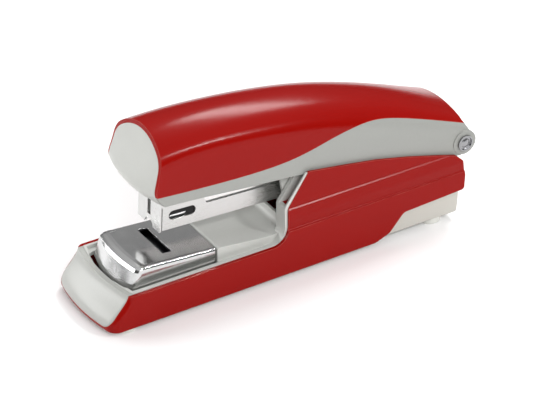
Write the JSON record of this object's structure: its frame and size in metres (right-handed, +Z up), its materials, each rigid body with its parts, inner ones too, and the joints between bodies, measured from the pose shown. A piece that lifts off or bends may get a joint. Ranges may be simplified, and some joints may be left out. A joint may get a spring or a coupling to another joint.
{
  "type": "stapler",
  "caption": "Flat-clinch desk stapler: long arched handle on a rear hinge pin, top-loading steel magazine, sinking anvil and a fluted base with an open front tray.",
  "frame": {"origin": "middle of the footprint, on the plane the feet stand on", "axes": "+X from the mouth towards the hinge, +Y across the stapler, +Z up; Y = 0 is the plane of symmetry"},
  "size_m": [0.1579, 0.0394, 0.0701],
  "materials": {
    "red_shell": "satin gloss red ABS",
    "red_shell_top": "satin gloss red ABS",
    "grey_panel": "fine texture light grey ABS",
    "grey_liner": "fine texture light grey ABS",
    "grey_pan": "fine texture light grey ABS",
    "grey_frame": "fine texture light grey ABS",
    "grey_cap": "fine texture light grey ABS",
    "grey_cover": "fine texture grey ABS",
    "black_plastic": "black nylon",
    "foot_pad": "soft pale pad",
    "plated_steel": "zinc plated sheet",
    "screw_steel": "bright zinc",
    "polished_pin": "nickel plated, polished",
    "dark_steel": "hardened and oiled",
    "anvil_chrome": "bright nickel on pressed sheet",
    "spring_steel": "spring wire",
    "magazine_steel": "bright zinc sheet",
    "bright_steel": "bright plated guide",
    "staple_wire": "galvanised wire",
    "follower_plastic": "black acetal"
  },
  "bodies": {
    "base": {"base_shell": "red_shell", "nose_panel": "grey_panel", "tray_liner": "grey_liner", "bottom_pan": "grey_pan", "rubber_feet": "foot_pad", "base_bracket": "plated_steel", "bracket_posts": "plated_steel", "bracket_screws": "screw_steel", "hinge_pin": "polished_pin", "hinge_washers": "plated_steel", "clincher_block": "dark_steel", "clincher_pins": "screw_steel", "anvil_posts": "plated_steel", "anvil_pin": "screw_steel", "anvil_spring": "spring_steel", "lift_spring": "spring_steel"},
    "anvil": {"anvil_cover": "anvil_chrome"},
    "wing_near": {"clincher_wing_near": "dark_steel"},
    "wing_far": {"clincher_wing_far": "dark_steel"},
    "magazine": {"magazine_channel": "magazine_steel", "magazine_liner": "bright_steel", "window_guide": "black_plastic", "staple_rail": "magazine_steel", "staple_strip": "staple_wire", "front_plate": "magazine_steel", "front_tabs": "magazine_steel", "guide_rod": "screw_steel", "rear_stop": "grey_cover", "front_stop": "grey_cover", "follower_spring": "spring_steel", "magazine_cover": "grey_cover", "cover_screws": "screw_steel"},
    "follower": {"follower": "follower_plastic"},
    "press_spring": {"press_spring": "spring_steel"},
    "handle": {"top_shell": "red_shell_top", "handle_frame": "grey_frame", "nose_cap": "grey_cap", "handle_carrier": "plated_steel", "carrier_screws": "screw_steel", "driver_blade": "dark_steel", "driver_rivets": "screw_steel"}
  },
  "joints": [
    {"name": "magazine_press", "type": "hinge", "parent": "base", "child": "magazine", "pos_m": [0.0741, 0, 0.031], "axis": [0, 1, 0], "range_deg": [-3.9, 0], "stiffness_Nm_per_rad": 8, "springref_deg": 3.44, "deforming": ["lift_spring"]},
    {"name": "drive_stroke", "type": "hinge", "parent": "magazine", "child": "press_spring", "pos_m": [0.0741, 0, 0.031], "axis": [0, 1, 0], "range_deg": [-3.7, 0], "stiffness_Nm_per_rad": 12, "springref_deg": 2.86},
    {"name": "handle_open", "type": "hinge", "parent": "press_spring", "child": "handle", "pos_m": [0.0741, 0, 0.031], "axis": [0, 1, 0], "range_deg": [0, 95]},
    {"name": "follower_slide", "type": "slide", "parent": "magazine", "child": "follower", "axis": [0.9988, 0, -0.0489], "range_m": [0, 0.03], "stiffness_N_per_m": 40, "springref_m": -0.04, "deforming": ["follower_spring"]},
    {"name": "anvil_sink", "type": "hinge", "parent": "base", "child": "anvil", "pos_m": [-0.035, 0, 0.0123], "axis": [0, 1, 0], "range_deg": [-3.9, 0], "deforming": ["anvil_spring"]},
    {"name": "wing_near_fold", "type": "hinge", "parent": "base", "child": "wing_near", "pos_m": [-0.0479, -0.008, 0.015], "axis": [1, 0, 0], "range_deg": [0, 7.8]},
    {"name": "wing_far_fold", "type": "hinge", "parent": "base", "child": "wing_far", "pos_m": [-0.0479, 0.008, 0.015], "axis": [1, 0, 0], "range_deg": [-7.8, 0]}
  ],
  "couplings": [
    {"joint": "anvil_sink", "follows": "magazine_press", "ratio": 1},
    {"joint": "wing_near_fold", "follows": "magazine_press", "ratio": -2},
    {"joint": "wing_far_fold", "follows": "magazine_press", "ratio": 2}
  ]
}
